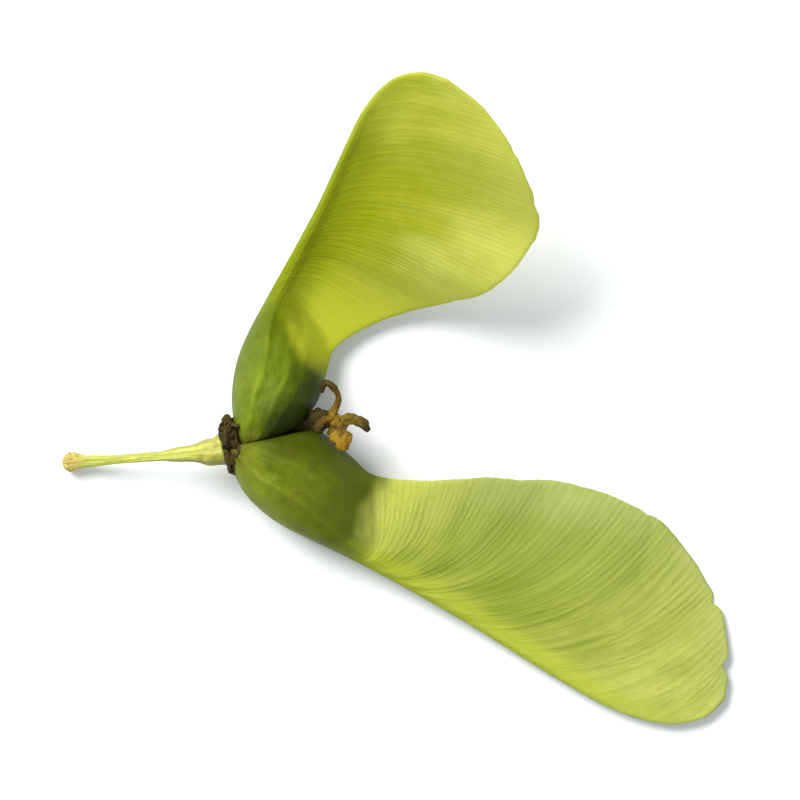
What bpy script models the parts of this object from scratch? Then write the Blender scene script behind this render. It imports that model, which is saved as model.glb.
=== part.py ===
"""A double samara of a trident maple, as picked: two winged fruits on a short stalk.

It lies on both nutlets and on its lower wing, and its upper wing stands up from the ground.
"""
import math

import bmesh
import bpy
from mathutils import Matrix, Vector
from mathutils.geometry import interpolate_bezier
from mathutils.kdtree import KDTree

# Sizes are in millimetres and angles in degrees. Meshes are made in metres.
MM = 0.001

# The collar is where the stalk and both nutlets meet. Every mesh is drawn round it.
COLLAR = Vector((-7.09, -1.96, 2.15))

# The flat outline of one fruit: x runs from the collar to the wing's tip, y to the thin margin.
OUTER_EDGE = [
    (0.0, 0.0), (0.22, -0.38), (0.75, -0.8), (1.6, -1.3), (2.6, -1.7), (3.9, -1.9),
    (5.3, -1.85), (7.2, -1.7), (9.8, -1.65), (13.0, -1.7), (17.0, -1.9), (20.0, -1.9),
    (22.3, -1.35), (23.6, -0.3), (24.0, 0.9),
]
OUTER_NECK = 7
INNER_EDGE = [
    (0.0, 0.0), (0.15, 0.45), (0.6, 1.05), (1.4, 1.7), (2.6, 2.25), (3.9, 2.4),
    (5.2, 2.15), (6.4, 2.0), (8.4, 3.1), (11.5, 5.3), (15.2, 6.9), (18.5, 6.9),
    (21.3, 5.3), (23.2, 3.1), (24.0, 0.9),
]
INNER_NECK = 7
MARGIN_WAVINESS = 0.07

# Thickness, as heights above and below the middle surface.
NUTLET_HALF = 1.95
BLADE_HALF = 0.31
EDGE_ROUND = 0.3
RIB_HALF = 0.3
RIB_INSET = 0.5
RIB_WIDTH = 0.38
VEIN_HALF = 0.1
KEEL_HALF = 0.13

# The mesh: columns of faces run across the nutlet and along the veins of the wing.
NUTLET_COLUMNS = 16
VEINS = 14
WING_COLUMNS = 4 * VEINS
COLUMNS = NUTLET_COLUMNS + WING_COLUMNS
ROWS = 16

# Where each fruit starts from the collar, and how it bends: distance, heading, climb and roll.
LOWER_START = Vector((-0.45, 0.33, 0.0))
LOWER_BENDS = [
    (0.0, -30.0, -5.0, 0.0), (4.5, -30.0, -5.0, 0.0), (8.5, -29.0, -5.9, -2.0),
    (12.5, -29.0, -5.9, -4.5), (18.0, -29.0, -0.5, -4.5), (24.0, -29.0, 0.5, -3.5),
]
UPPER_START = Vector((0.7, -0.6, 0.34))
UPPER_BENDS = [
    (0.0, 75.0, -14.0, 0.0), (6.0, 67.0, -14.0, 0.0), (10.8, 59.5, 47.0, 0.0),
    (24.0, 64.0, 49.0, 0.0),
]

# The fruits differ a little: lengths of the wings, breadth of the upper nutlet, and breadth of
# each wing on its rib side and on its thin side.
LOWER_LENGTH = 1.02
UPPER_LENGTH = 0.955
UPPER_SLIMNESS = 0.8
LOWER_SIDES = (1.0, 0.88)
UPPER_SIDES = (0.88, 1.03)
WAVE_HEIGHT = 0.25
WAVE_LENGTH = 7.5

# The nutlets press flat against each other on an upright plane that follows the seam, and
# against the calyx on a plane across it.
SEAM = Vector((math.cos(math.radians(12.0)), math.sin(math.radians(12.0)), 0.0))
SEAM_NORMAL = Vector((-SEAM.y, SEAM.x, 0.0))
SEAM_GAP = 0.14
BASE = 0.0
PRESS = 0.92

# The stalk, the withered calyx round its top and the withered style in the notch.
STALK_PATH = [
    (-7.3, -0.7, -1.68), (-6.7, -0.65, -1.62), (-4.8, -0.55, -1.1), (-2.6, -0.4, -0.4), (-1.02, -0.22, 0.0),
]
STALK_RADII = [0.42, 0.36, 0.3, 0.31, 0.62]
CALYX_PATH = [SEAM * -0.93, SEAM * -0.52, SEAM * -0.15]
CALYX_RADII = [0.95, 1.3, 1.1]
STYLE_PATH = [(4.3, 2.85, 1.0), (4.0, 2.2, 0.5), (4.0, 1.5, 0.15), (4.6, 0.75, 0.35), (5.1, 0.0, 0.75)]
STYLE_RADII = [0.3, 0.3, 0.38, 0.32, 0.36]


def eased(t):
    """0 below 0, 1 above 1, and a smooth step between."""
    t = min(1.0, max(0.0, t))
    return t * t * (3.0 - 2.0 * t)


def mixed(start, end, t):
    return start + (end - start) * t


class Edge:
    """A smooth curve through points, with the distance along it."""

    def __init__(self, points, neck=0):
        knots = [Vector((*point, 0.0)) if len(point) == 2 else Vector(point) for point in points]
        self.points = [knots[0]]
        self.knot_lengths = [0.0]
        self.lengths = [0.0]
        for i in range(len(knots) - 1):
            for point in self.span(knots, i)[1:]:
                self.lengths.append(self.lengths[-1] + (point - self.points[-1]).length)
                self.points.append(point)
            self.knot_lengths.append(self.lengths[-1])
        self.neck = self.knot_lengths[neck]
        self.total = self.lengths[-1]
        self.tree = KDTree(len(self.points))
        for i, point in enumerate(self.points):
            self.tree.insert(point, i)
        self.tree.balance()

    def span(self, knots, i):
        """The curve from knot i to the next, with handles a third of the way."""
        start, end = knots[i], knots[i + 1]
        before = knots[i - 1] if i > 0 else start
        after = knots[i + 2] if i + 2 < len(knots) else end
        reach = (end - start).length / 3.0
        leaving = start + (end - before).normalized() * reach
        arriving = end - (after - start).normalized() * reach
        return interpolate_bezier(start, leaving, arriving, end, 48)

    def at(self, length):
        """The point at a distance along the curve."""
        length = min(self.total, max(0.0, length))
        low, high = 0, len(self.lengths) - 1
        while high - low > 1:
            middle = (low + high) // 2
            if self.lengths[middle] <= length:
                low = middle
            else:
                high = middle
        step = self.lengths[high] - self.lengths[low]
        return self.points[low].lerp(self.points[high], (length - self.lengths[low]) / step)

    def distance(self, point):
        return self.tree.find(point)[2]


OUTER = Edge(OUTER_EDGE, OUTER_NECK)
INNER = Edge(INNER_EDGE, INNER_NECK)
TIP = Vector((*OUTER_EDGE[-1], 0.0))


class Spine:
    """The middle line of a fruit, turned by its bends as it runs from the collar."""

    STEP = 0.1

    def __init__(self, start, bends):
        self.bends = bends
        self.points = [start.copy()]
        for i in range(round(bends[-1][0] / self.STEP) + 1):
            forward = self.turn((i + 0.5) * self.STEP).col[0]
            self.points.append(self.points[-1] + forward * self.STEP)

    def turn(self, x):
        """The rotation at a distance x: its first column points along the spine."""
        heading, climb, roll = self.bends[-1][1:]
        for start, end in zip(self.bends, self.bends[1:]):
            if x < end[0]:
                t = eased((x - start[0]) / (end[0] - start[0]))
                heading, climb, roll = (mixed(a, b, t) for a, b in zip(start[1:], end[1:]))
                break
        return (
            Matrix.Rotation(math.radians(heading), 3, "Z")
            @ Matrix.Rotation(math.radians(-climb), 3, "Y")
            @ Matrix.Rotation(math.radians(roll), 3, "X")
        )

    def place(self, x, side, height):
        """The point beside and above the spine at a distance x."""
        i = min(len(self.points) - 2, int(max(0.0, x) / self.STEP))
        on_spine = self.points[i].lerp(self.points[i + 1], x / self.STEP - i)
        return on_spine + self.turn(x) @ Vector((0.0, side, height))


def column(a):
    """The ends and the bend of the column of faces at share a of the way to the tip.

    The share of the nutlet's length passed and the place between two veins come with them.
    """
    k = a * COLUMNS
    if k <= NUTLET_COLUMNS:
        passed = (k / NUTLET_COLUMNS) ** 1.4
        outer = OUTER.at(passed * OUTER.neck)
        inner = INNER.at(passed * INNER.neck)
        t = 0.0
    else:
        passed = 1.0
        t = (k - NUTLET_COLUMNS) / WING_COLUMNS
        outer = OUTER.at(mixed(OUTER.neck, OUTER.total, 0.2 * t + 0.8 * t ** 3))
        length = mixed(INNER.neck, INNER.total, t)
        inner = INNER.at(length)
        ahead = (INNER.at(length + 0.2) - INNER.at(length - 0.2)).normalized()
        wave = math.sin(9.0 * math.tau * t) + 0.6 * math.sin(15.0 * math.tau * t + 1.0)
        inner += Vector((-ahead.y, ahead.x, 0.0)) * MARGIN_WAVINESS * wave * eased(4.0 * t) * eased(8.0 * (1.0 - t))
    across = inner - outer
    bow = eased((passed - 0.5) / 0.5)
    forward = (TIP - outer).normalized() * across.length * 0.45
    middle = (outer + across * 0.5).lerp(outer + forward, bow)
    return outer, middle, inner, passed, t


def row_share(v, bow):
    """Rows lie close together at both edges of the nutlet and at the wing's thin margin."""
    in_nutlet = 0.5 - 0.5 * math.cos(math.pi * v)
    in_wing = v + 0.85 * v * v * (1.0 - v)
    return mixed(in_nutlet, in_wing, bow)


def vein(t, b):
    """1 on a vein, 0 between two. Each vein forks halfway across the wing."""
    phase = (t * VEINS) % 1.0
    fork = 0.25 * eased((b - 0.42) / 0.2)
    nearest = min(abs(phase - fork), abs(phase - 1.0 + fork), abs(phase + fork), abs(1.0 + fork - phase))
    return max(0.0, 1.0 - nearest / 0.25)


def half_thickness(point, passed, t, b):
    to_outer = OUTER.distance(point)
    to_inner = INNER.distance(point)
    inset = min(1.0, min(to_outer, to_inner) / EDGE_ROUND)
    rounding = math.sqrt(1.0 - (1.0 - inset) ** 2)
    blade = BLADE_HALF * rounding
    relief = 0.0
    swelling = 0.0
    if passed < 1.0:
        length_profile = math.sin(math.pi * passed) ** mixed(0.7, 1.2, eased((passed - 0.45) / 0.5))
        swelling = NUTLET_HALF * length_profile * math.sqrt(max(0.0, 4.0 * b * (1.0 - b)))
        for ridge, share in ((0.31, 1.0), (0.6, 0.55), (0.78, 0.4)):
            relief += share * KEEL_HALF * length_profile * math.exp(-(((b - ridge) / 0.05) ** 2))
    growth = eased((passed - 0.6) / 0.4)
    rib = RIB_HALF * math.exp(-(((to_outer - RIB_INSET) / RIB_WIDTH) ** 2))
    relief += growth * rib * (1.0 - 0.7 * eased(point.x / 24.0)) * rounding
    if passed >= 1.0:
        raised = eased(t * VEINS) * eased(to_outer / 0.8) * eased(to_inner / 1.2)
        relief += VEIN_HALF * vein(t, b) * raised
    return math.hypot(swelling, blade) + relief


def samara_mesh(start, bends, hand, length, slimness, sides, wave_start):
    """One fruit, its nutlet and wing in one body: two like sheets that meet at the edges."""
    spine = Spine(start, bends)
    mesh = bmesh.new()
    sheets = []
    for _ in range(2):
        made = bmesh.ops.create_grid(mesh, x_segments=COLUMNS, y_segments=ROWS, size=0.5)
        sheets.append(made["verts"])
    bmesh.ops.triangulate(mesh, faces=mesh.faces[:], quad_method="FIXED")
    for face_sign, sheet in zip((1.0, -1.0), sheets):
        for vertex in sheet:
            a = min(1.0, max(0.0, vertex.co.x + 0.5))
            v = min(1.0, max(0.0, vertex.co.y + 0.5))
            outer, middle, inner, passed, t = column(a)
            b = row_share(v, eased((passed - 0.5) / 0.5))
            point = outer * (1.0 - b) ** 2 + middle * 2.0 * b * (1.0 - b) + inner * b * b
            on_border = v < 1e-4 or v > 1.0 - 1e-4 or a < 1e-5 or a > 1.0 - 1e-5
            height = 0.0 if on_border else half_thickness(point, passed, t, b) * face_sign
            wing = eased((point.x - 5.0) / 6.0)
            wave = math.sin(math.tau * point.x / WAVE_LENGTH + wave_start)
            height += wing * WAVE_HEIGHT * wave * eased(point.y / 6.0)
            side = point.y * mixed(slimness, 1.0, eased(point.x / 8.0)) * hand
            side *= mixed(1.0, sides[point.y > 0.0], eased((point.x - 4.5) / 5.5))
            vertex.co = spine.place(point.x * mixed(1.0, length, eased(point.x / 8.0)), side, height)
    return mesh


def press_flat(mesh, normal, reach):
    """Moves what lies past a plane, at a reach from the collar, nearly back onto it."""
    for vertex in mesh.verts:
        past = reach - vertex.co.dot(normal)
        if past > 0.0:
            vertex.co += normal * past * PRESS


def tube_mesh(path, radii, rounding, columns, rows, lobes, depth):
    """A closed rod along a smooth path, rounded at both ends and lobed round its sides."""
    line = Edge(path)
    mesh = bmesh.new()
    bmesh.ops.create_grid(mesh, x_segments=columns, y_segments=rows, size=0.5)
    bmesh.ops.triangulate(mesh, faces=mesh.faces[:], quad_method="FIXED")
    for vertex in mesh.verts:
        share = 0.5 - 0.5 * math.cos(math.pi * min(1.0, max(0.0, vertex.co.x + 0.5)))
        turn = math.tau * (vertex.co.y + 0.5)
        length = share * line.total
        knot = 0
        while knot < len(radii) - 2 and line.knot_lengths[knot + 1] < length:
            knot += 1
        start, end = line.knot_lengths[knot], line.knot_lengths[knot + 1]
        radius = mixed(radii[knot], radii[knot + 1], eased((length - start) / (end - start)))
        inset = min(1.0, min(length, line.total - length) / rounding)
        radius *= math.sqrt(1.0 - (1.0 - inset) ** 2)
        radius *= 1.0 + depth * math.cos(lobes * turn) * math.cos(2.0 * turn + 4.0 * share)
        ahead = line.at(length + 0.05) - line.at(length - 0.05)
        facing = ahead.to_track_quat("X", "Z")
        vertex.co = line.at(length) + facing @ Vector((0.0, math.cos(turn), math.sin(turn))) * radius
    return mesh


def material(name, colour, roughness):
    made = bpy.data.materials.new(name)
    made.use_nodes = True
    shader = made.node_tree.nodes["Principled BSDF"]
    shader.inputs["Base Color"].default_value = (*colour, 1.0)
    shader.inputs["Roughness"].default_value = roughness
    shader.inputs["Metallic"].default_value = 0.0
    made.diffuse_color = (*colour, 1.0)
    return made


def finish(name, mesh, colour, roughness):
    """Rests the mesh on the ground, welds it and makes its object."""
    for vertex in mesh.verts:
        vertex.co.z = max(vertex.co.z, -COLLAR.z)
        vertex.co *= MM
    bmesh.ops.remove_doubles(mesh, verts=mesh.verts[:], dist=0.000001)
    bmesh.ops.recalc_face_normals(mesh, faces=mesh.faces[:])
    data = bpy.data.meshes.new(name)
    mesh.to_mesh(data)
    mesh.free()
    data.shade_smooth()
    data.materials.append(material(name, colour, roughness))
    made = bpy.data.objects.new(name, data)
    made.location = COLLAR * MM
    bpy.context.scene.collection.objects.link(made)
    return made


def build():
    for old in list(bpy.data.objects):
        bpy.data.objects.remove(old, do_unlink=True)

    lower = samara_mesh(LOWER_START, LOWER_BENDS, 1.0, LOWER_LENGTH, 1.0, LOWER_SIDES, 0.6)
    press_flat(lower, -SEAM_NORMAL, SEAM_GAP / 2.0)
    press_flat(lower, SEAM, BASE)
    finish("mericarp_lower", lower, (0.42, 0.47, 0.13), 0.55)

    upper = samara_mesh(UPPER_START, UPPER_BENDS, -1.0, UPPER_LENGTH, UPPER_SLIMNESS, UPPER_SIDES, 2.4)
    press_flat(upper, SEAM_NORMAL, SEAM_GAP / 2.0)
    press_flat(upper, SEAM, BASE)
    finish("mericarp_upper", upper, (0.40, 0.40, 0.09), 0.5)

    finish("pedicel", tube_mesh(STALK_PATH, STALK_RADII, 0.25, 30, 12, 3, 0.08), (0.45, 0.42, 0.12), 0.6)
    finish("calyx_ring", tube_mesh(CALYX_PATH, CALYX_RADII, 0.25, 12, 30, 5, 0.16), (0.09, 0.03, 0.015), 0.7)
    finish("style_remnant", tube_mesh(STYLE_PATH, STYLE_RADII, 0.25, 22, 10, 3, 0.12), (0.35, 0.13, 0.03), 0.7)


build()
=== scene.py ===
# %% [markdown]
# # A maple samara, modelled and painted
#
# A samara is a seed with a wing. A maple carries two of them back to back: two plump green
# nutlets on one short stalk, each with a broad papery wing. This lesson rebuilds such a pair,
# lying on a pale surface as if it had just been picked, and paints it without any image.
#
# Sizes are in millimetres wherever they are typed and become metres only when a mesh is
# finished, because a fruit this small is hard to picture in metres.

import math

import bmesh
import bpy
from mathutils import Matrix, Vector, noise
from mathutils.geometry import interpolate_bezier
from mathutils.kdtree import KDTree


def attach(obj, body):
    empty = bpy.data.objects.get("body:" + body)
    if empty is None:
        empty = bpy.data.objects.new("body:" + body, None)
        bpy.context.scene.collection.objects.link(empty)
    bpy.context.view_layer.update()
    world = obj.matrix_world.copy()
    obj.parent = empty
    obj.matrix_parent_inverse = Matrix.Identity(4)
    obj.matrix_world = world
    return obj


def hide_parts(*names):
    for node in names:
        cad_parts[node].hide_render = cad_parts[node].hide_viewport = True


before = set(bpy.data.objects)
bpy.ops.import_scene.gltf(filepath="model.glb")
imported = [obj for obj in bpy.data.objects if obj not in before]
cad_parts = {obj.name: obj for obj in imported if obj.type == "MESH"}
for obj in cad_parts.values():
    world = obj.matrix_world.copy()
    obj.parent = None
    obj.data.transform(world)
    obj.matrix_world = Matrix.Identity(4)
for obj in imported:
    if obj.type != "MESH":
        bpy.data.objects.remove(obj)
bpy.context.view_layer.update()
MM = 0.001
print("solids in the frame:", ", ".join(sorted(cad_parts)))

# %% [markdown]
# Both fruits hang from one point, the collar, where the stalk ends. Every shape below is drawn
# round that point and moved to its place at the end, so the numbers stay small and readable. The
# two nutlets touch along an upright seam that runs out from the collar, so its direction is
# settled here too.

# %% The collar, and the upright seam between the nutlets
COLLAR = Vector((-7.09, -1.96, 2.15))
GROUND = -COLLAR.z
SEAM = Vector((math.cos(math.radians(12.0)), math.sin(math.radians(12.0)), 0.0))
SEAM_NORMAL = Vector((-SEAM.y, SEAM.x, 0.0))
print("the collar stands", COLLAR.z, "mm above the ground")


# %% Three small helpers
def eased(t):
    """0 below 0, 1 above 1, and a smooth step between."""
    t = min(1.0, max(0.0, t))
    return t * t * (3.0 - 2.0 * t)


def mixed(start, end, t):
    """The value a share t of the way from start to end."""
    return start + (end - start) * t


def bell(distance, width):
    """1 at no distance, falling smoothly to nothing a few widths away."""
    return math.exp(-((distance / width) ** 2))


print("a quarter of the way, eased gives", round(eased(0.25), 3))

# %% [markdown]
# The flat outline of a samara is two curves from the collar to the tip. The outer edge is nearly
# straight and carries the thick rib. The inner edge bulges round the nutlet, dips at the neck and
# sweeps out as the thin margin of the wing. Bezier spans through a few points keep both smooth,
# and the distance along each lets the mesh follow them evenly.


# %% A smooth edge
SPAN_POINTS = 48


class Edge:
    """A smooth curve through points, with the distance along it."""

    def __init__(self, points, neck=0):
        knots = [Vector(point).to_3d() for point in points]
        self.points = [knots[0]]
        self.knot_lengths = [0.0]
        self.lengths = [0.0]
        for i in range(len(knots) - 1):
            for point in self.span(knots, i)[1:]:
                self.lengths.append(self.lengths[-1] + (point - self.points[-1]).length)
                self.points.append(point)
            self.knot_lengths.append(self.lengths[-1])
        self.neck = self.knot_lengths[neck]
        self.total = self.lengths[-1]
        self.tree = KDTree(len(self.points))
        for i, point in enumerate(self.points):
            self.tree.insert(point, i)
        self.tree.balance()

    def span(self, knots, i):
        """The curve from knot i to the next, with handles a third of the way."""
        start, end = knots[i], knots[i + 1]
        before = knots[i - 1] if i > 0 else start
        after = knots[i + 2] if i + 2 < len(knots) else end
        reach = (end - start).length / 3.0
        leaving = start + (end - before).normalized() * reach
        arriving = end - (after - start).normalized() * reach
        return interpolate_bezier(start, leaving, arriving, end, SPAN_POINTS)

    def at(self, length):
        """The point at a distance along the curve."""
        length = min(self.total, max(0.0, length))
        low, high = 0, len(self.lengths) - 1
        while high - low > 1:
            middle = (low + high) // 2
            if self.lengths[middle] <= length:
                low = middle
            else:
                high = middle
        step = self.lengths[high] - self.lengths[low]
        return self.points[low].lerp(self.points[high], (length - self.lengths[low]) / step)

    def distance(self, point):
        """How far a point is from the curve."""
        return self.tree.find(point)[2]


hill = Edge([(0.0, 0.0), (1.0, 1.0), (2.0, 0.0)])
print("a smooth edge over a hill 1 mm high and 2 mm wide is", round(hill.total, 2), "mm long")

# %% The outline of one fruit
OUTER_EDGE = [
    (0.0, 0.0), (0.22, -0.38), (0.75, -0.8), (1.6, -1.3), (2.6, -1.7), (3.9, -1.9),
    (5.3, -1.85), (7.2, -1.7), (9.8, -1.65), (13.0, -1.7), (17.0, -1.9), (20.0, -1.9),
    (22.3, -1.35), (23.6, -0.3), (24.0, 0.9),
]
INNER_EDGE = [
    (0.0, 0.0), (0.15, 0.45), (0.6, 1.05), (1.4, 1.7), (2.6, 2.25), (3.9, 2.4),
    (5.2, 2.15), (6.4, 2.0), (8.4, 3.1), (11.5, 5.3), (15.2, 6.9), (18.5, 6.9),
    (21.3, 5.3), (23.2, 3.1), (24.0, 0.9),
]
NECK = 7
OUTER = Edge(OUTER_EDGE, NECK)
INNER = Edge(INNER_EDGE, NECK)
TIP = Vector(OUTER_EDGE[-1]).to_3d()
print("outer edge", round(OUTER.total, 1), "mm, inner edge", round(INNER.total, 1), "mm")

# %% [markdown]
# A fruit isn't flat: it climbs, rolls and turns as it leaves the collar. A spine does this for
# the whole mesh at once. It takes a heading, a climb and a roll at a few distances, and turns a
# flat place beside it into a place in space.


# %% The spine
class Spine:
    """The middle line of a fruit, turned by its bends as it runs from the collar."""

    STEP = 0.1

    def __init__(self, start, bends):
        self.bends = bends
        self.points = [start.copy()]
        for i in range(round(bends[-1][0] / self.STEP) + 1):
            forward = self.turn((i + 0.5) * self.STEP).col[0]
            self.points.append(self.points[-1] + forward * self.STEP)

    def turn(self, x):
        """The rotation at a distance x: its first column points along the spine."""
        heading, climb, roll = self.bends[-1][1:]
        for start, end in zip(self.bends, self.bends[1:]):
            if x < end[0]:
                t = eased((x - start[0]) / (end[0] - start[0]))
                heading, climb, roll = (mixed(a, b, t) for a, b in zip(start[1:], end[1:]))
                break
        return (
            Matrix.Rotation(math.radians(heading), 3, "Z")
            @ Matrix.Rotation(math.radians(-climb), 3, "Y")
            @ Matrix.Rotation(math.radians(roll), 3, "X")
        )

    def place(self, x, side, height):
        """The point beside and above the spine at a distance x."""
        i = min(len(self.points) - 2, int(max(0.0, x) / self.STEP))
        on_spine = self.points[i].lerp(self.points[i + 1], x / self.STEP - i)
        return on_spine + self.turn(x) @ Vector((0.0, side, height))


print("a spine turns every", Spine.STEP, "mm")

# %% [markdown]
# One outline serves both fruits, and a few numbers make them differ. The lower one lies nearly
# flat. The upper one is its mirror image, slopes down along its nutlet and then stands up. A bend
# gives a distance, a heading, a climb and a roll. A nick is a bite out of the thin margin: its
# share of the way to the tip, its width and its depth. The band is the coloured strip along the
# rib: its inset, its widths outwards and inwards, and where it starts to fade.

# %% How each fruit bends, and how the two differ
LOWER = {
    "start": Vector((-0.45, 0.33, 0.0)),
    "bends": [
        (0.0, -30.0, -5.0, 0.0), (4.5, -30.0, -5.0, 0.0), (8.5, -29.0, -5.9, -2.0),
        (12.5, -29.0, -5.9, -4.5), (18.0, -29.0, -0.5, -4.5), (24.0, -29.0, 0.5, -3.5),
    ],
    "hand": 1.0, "length": 1.02, "slimness": 1.0, "sides": (1.0, 0.88), "wave_start": 0.6,
    "drop": 0.18, "nicks": [(0.785, 0.012, 0.26), (0.925, 0.018, 0.3), (0.56, 0.01, 0.12)],
    "waviness": 0.05, "vein_half": 0.018, "pleats": 0.1, "band": (0.4, 0.5, 0.6, 17.5),
}
UPPER = {
    "start": Vector((0.7, -0.6, 0.34)),
    "bends": [
        (0.0, 75.0, -14.0, 0.0), (6.0, 67.0, -14.0, 0.0), (10.8, 59.5, 47.0, 0.0),
        (24.0, 64.0, 49.0, 0.0),
    ],
    "hand": -1.0, "length": 0.955, "slimness": 0.8, "sides": (0.88, 1.03), "wave_start": 2.4,
    "drop": 0.0, "nicks": [(0.66, 0.02, 0.1), (0.8, 0.015, 0.08)],
    "waviness": 0.03, "vein_half": 0.008, "pleats": 0.035, "band": (0.6, 0.75, 1.4, 17.0),
}
print("the lower wing heads", LOWER["bends"][-1][1], "degrees, the upper", UPPER["bends"][-1][1])

# %% [markdown]
# The mesh is a grid whose columns follow the veins. In a real wing the veins leave the rib at a
# slant, curve forward and end at the thin margin, so a column is a curve of the same kind. The
# margin is a little wavy and ragged, with a few nicks.

# %% Columns along the veins
NUTLET_COLUMNS = 84
WING_COLUMNS = 300
COLUMNS = NUTLET_COLUMNS + WING_COLUMNS
ROWS = 92
MARGIN_RAGGEDNESS = 0.04


def margin_shift(t, length, nicks, waviness):
    """How far the thin margin stands out from its smooth curve, a share t along the wing."""
    wave = math.sin(5.0 * math.tau * t + 2.0) + 0.5 * math.sin(9.0 * math.tau * t)
    outward = waviness * wave * eased(4.0 * t) * eased(8.0 * (1.0 - t))
    ragged = noise.noise((length * 2.6, 4.0, 0.0)) * eased(6.0 * t) * eased(9.0 * (1.0 - t))
    outward += MARGIN_RAGGEDNESS * ragged
    return outward - sum(depth * bell(t - place, width) for place, width, depth in nicks)


def column(k, nicks, waviness):
    """The ends and the bend of column k, with the share of nutlet and of wing passed."""
    if k <= NUTLET_COLUMNS:
        passed = (k / NUTLET_COLUMNS) ** 1.4
        outer = OUTER.at(passed * OUTER.neck)
        inner = INNER.at(passed * INNER.neck)
        t = 0.0
    else:
        passed = 1.0
        t = (k - NUTLET_COLUMNS) / WING_COLUMNS
        outer = OUTER.at(mixed(OUTER.neck, OUTER.total, 0.2 * t + 0.8 * t**3))
        length = mixed(INNER.neck, INNER.total, t)
        inner = INNER.at(length)
        ahead = (INNER.at(length + 0.2) - INNER.at(length - 0.2)).normalized()
        inner += Vector((-ahead.y, ahead.x, 0.0)) * margin_shift(t, length, nicks, waviness)
    across = inner - outer
    bow = eased((passed - 0.5) / 0.5)
    forward = (TIP - outer).normalized() * across.length * 0.45
    middle = (outer + across * 0.5).lerp(outer + forward, bow)
    return outer, middle, inner, passed, t


def row_share(v, bow):
    """Rows lie close together at both edges, closest round the edges of the nutlet."""
    even = 0.5 - 0.5 * math.cos(math.pi * v)
    return mixed(even, mixed(v, even, 0.75), bow)


print(COLUMNS, "columns by", ROWS, "rows on each face of a fruit")

# %% [markdown]
# Each vein forks on its way, some late and some early. The place of every vertex among the veins
# is a number that is whole on a vein. It is kept on the mesh, because the paint needs it later.

# %% Veins and their forks
VEINS = 36
FORK_START = 0.38
FORK_SWAY = 0.16
FORK_BEAT = 2.4
FORK_RUN = 0.3
FORK_WIDTH = 0.25


def vein_place(t, b):
    """Where a point lies among the veins: whole numbers are veins, a little unevenly spaced."""
    uneven = 0.9 * noise.noise((t * 7.0, b * 0.9, 3.0))
    uneven += 0.3 * noise.noise((t * 24.0, b * 1.5, 8.0))
    return t * VEINS + uneven * eased(8.0 * t) * eased(8.0 * (1.0 - t))


def fork_start(vein):
    """The share of the way across the wing at which a vein forks."""
    return FORK_START + FORK_SWAY * math.sin(FORK_BEAT * vein)


def on_vein(place, b):
    """1 on a vein and 0 away from it."""
    nearest = 1.0
    for vein in (math.floor(place), math.floor(place) + 1.0):
        fork = FORK_WIDTH * eased((b - fork_start(vein)) / FORK_RUN)
        nearest = min(nearest, abs(place - vein - fork), abs(place - vein + fork))
    return max(0.0, 1.0 - nearest / 0.2)


print(VEINS, "veins, which fork from", round(FORK_START - FORK_SWAY, 2), "of the way across")

# %% [markdown]
# Thickness makes the fruit. A wing is a membrane about a sixth of a millimetre thick, stiffened
# by a rib that is a bundle of fine parallel veins. The nutlet swells to nearly four millimetres
# and has blunt ridges from end to end. All of it is added as a height on both sides of one middle
# surface, so the two faces can never cross.

# %% Thickness
NUTLET_HALF = 1.95
MEMBRANE_HALF = 0.085
EDGE_ROUND = 0.14
RIB_HALF = 0.27
RIB_INSET = 0.5
RIB_WIDTH = 0.36
CORD_HALF = 0.03
CORD_SPACING = 0.21
RIDGES = [(0.31, 0.05, 0.15), (0.6, 0.05, 0.08), (0.78, 0.045, 0.06), (0.14, 0.04, 0.04)]
HIGHEST_RIDGE = 0.15


def ridge_height(passed, b):
    """The ridges of the nutlet wander a little and grow from both of its ends."""
    wander = 0.035 * noise.noise((passed * 4.0, b * 3.0, 7.0))
    uneven = 0.75 + 0.5 * noise.noise((passed * 6.0, b * 5.0, 2.0))
    return uneven * sum(height * bell(b + wander - place, width) for place, width, height in RIDGES)


def half_thickness(point, passed, t, b, place, across, vein_half):
    """Half the thickness at a point, with the share of the rib and of the ridges in it."""
    to_outer = OUTER.distance(point)
    to_inner = min(INNER.distance(point), 0.9 * (1.0 - b) * across)
    inset = min(1.0, min(to_outer, to_inner) / EDGE_ROUND)
    rounding = math.sqrt(1.0 - (1.0 - inset) ** 2)
    growth = eased((passed - 0.6) / 0.4)
    taper = 1.0 - 0.6 * eased(point.x / 22.0)
    fade = 1.0 - eased((point.x - 17.5) / 5.5)
    bundle = bell(to_outer - RIB_INSET * taper, RIB_WIDTH * (0.45 + 0.55 * taper)) * growth * fade
    cords = 0.5 + 0.5 * math.cos(math.tau * to_outer / CORD_SPACING)
    relief = bundle * taper * rounding * (RIB_HALF + CORD_HALF * cords)
    swelling, ridges = 0.0, 0.0
    if passed < 1.0:
        profile = math.sin(math.pi * passed) ** mixed(0.7, 0.95, eased((passed - 0.45) / 0.5))
        swelling = NUTLET_HALF * profile * math.sqrt(max(0.0, 4.0 * b * (1.0 - b)))
        ridges = ridge_height(passed, b) * profile
        lumps = noise.noise((point.x * 0.8, point.y * 1.1, 11.0))
        dimples = noise.noise((point.x * 2.1, point.y * 2.6, 5.0))
        relief += ridges + profile * rounding * (0.13 * lumps + 0.05 * dimples)
    else:
        raised = eased(t * VEINS) * eased(to_outer / 0.8) * eased(to_inner / 0.9)
        relief += vein_half * on_vein(place, b) * raised
    half = math.hypot(swelling, MEMBRANE_HALF * rounding) + relief
    return half, bundle, ridges / HIGHEST_RIDGE


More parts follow.
